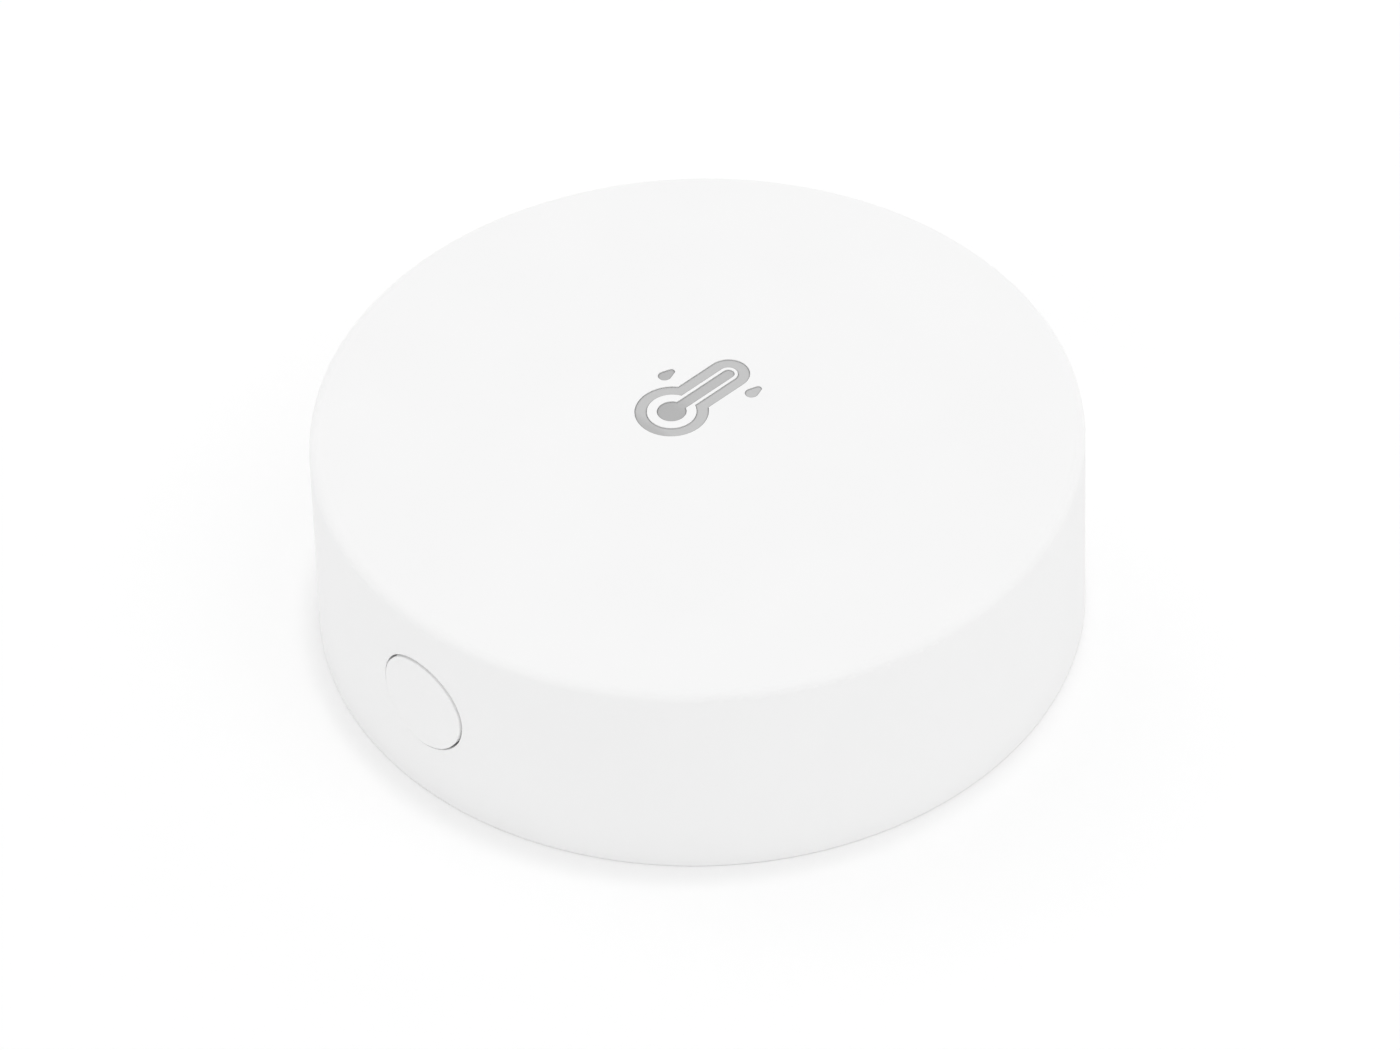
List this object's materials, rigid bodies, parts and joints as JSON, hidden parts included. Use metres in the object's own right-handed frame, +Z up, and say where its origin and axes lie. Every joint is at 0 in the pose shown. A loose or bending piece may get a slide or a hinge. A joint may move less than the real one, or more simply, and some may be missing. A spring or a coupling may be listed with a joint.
{
  "type": "temperature and humidity sensor",
  "caption": "Round white coin-cell climate sensor: shell with side button, air slots and thermometer pictogram, turn-lock battery cover and adhesive ring below.",
  "frame": {"origin": "centre of the adhesive ring's underside, on the table", "axes": "+Z up through the round body, -Y out through the side button, pictogram upright towards +Y"},
  "size_m": [0.036, 0.036, 0.0106],
  "materials": {
    "shell_plastic": "fine satin white",
    "outline_ink": "matt grey",
    "column_ink": "matt grey",
    "drops_ink": "matt grey",
    "button_plastic": "satin white",
    "chassis_plastic": "fine matt white",
    "cover_plastic": "fine matt white",
    "adhesive_foam": "tacky grey foam",
    "board_laminate": "green solder mask",
    "antenna_copper": "copper under green solder mask",
    "chip_epoxy": "moulded epoxy",
    "crystal_can": "plated lid",
    "sensor_epoxy": "moulded epoxy",
    "led_lens": "clear lens on a white base",
    "capacitor_ceramic": "fired ceramic with tinned ends",
    "resistor_ceramic": "glazed ceramic with tinned ends",
    "inductor_ferrite": "ferrite with tinned ends",
    "tantalum_epoxy": "moulded epoxy",
    "pad_gold": "gold plated",
    "switch_plastic": "moulded nylon",
    "switch_steel": "bright pressed sheet",
    "dome_steel": "bright spring sheet",
    "plunger_plastic": "moulded nylon",
    "terminal_tin": "tinned",
    "contact_nickel": "nickel plated spring sheet",
    "cell_steel": "brushed nickel plate",
    "gasket_nylon": "milky nylon",
    "membrane_cloth": "fine white membrane"
  },
  "bodies": {
    "housing": {"top_shell": "shell_plastic", "pictogram_outline": "outline_ink", "pictogram_column": "column_ink", "pictogram_drops": "drops_ink", "chassis": "chassis_plastic", "adhesive_ring": "adhesive_foam", "circuit_board": "board_laminate", "board_antenna": "antenna_copper", "radio_chip": "chip_epoxy", "memory_chip": "chip_epoxy", "crystals": "crystal_can", "climate_sensor": "sensor_epoxy", "status_led": "led_lens", "chip_capacitors": "capacitor_ceramic", "chip_resistors": "resistor_ceramic", "chip_inductors": "inductor_ferrite", "bulk_capacitors": "tantalum_epoxy", "test_pads": "pad_gold", "switch_body": "switch_plastic", "switch_bracket": "switch_steel", "switch_dome": "dome_steel", "switch_terminals": "terminal_tin", "positive_contacts": "contact_nickel", "negative_contact": "contact_nickel", "cell_can": "cell_steel", "cell_gasket": "gasket_nylon", "cell_cap": "cell_steel", "vent_membrane": "membrane_cloth"},
    "button": {"side_button": "button_plastic"},
    "cover": {"battery_cover": "cover_plastic"},
    "plunger": {"switch_plunger": "plunger_plastic"}
  },
  "joints": [
    {"name": "button_press", "type": "slide", "parent": "housing", "child": "button", "axis": [0, 1, 0], "range_m": [0, 0.00025], "stiffness_N_per_m": 6000},
    {"name": "switch_press", "type": "slide", "parent": "housing", "child": "plunger", "axis": [0, 1, 0], "range_m": [0, 0.00025], "deforming": ["switch_dome"]},
    {"name": "cover_turn", "type": "hinge", "parent": "housing", "child": "cover", "pos_m": [0, 0, 0.0012], "axis": [0, 0, -1], "range_deg": [0, 30]}
  ],
  "couplings": [
    {"joint": "switch_press", "follows": "button_press", "ratio": 1}
  ]
}
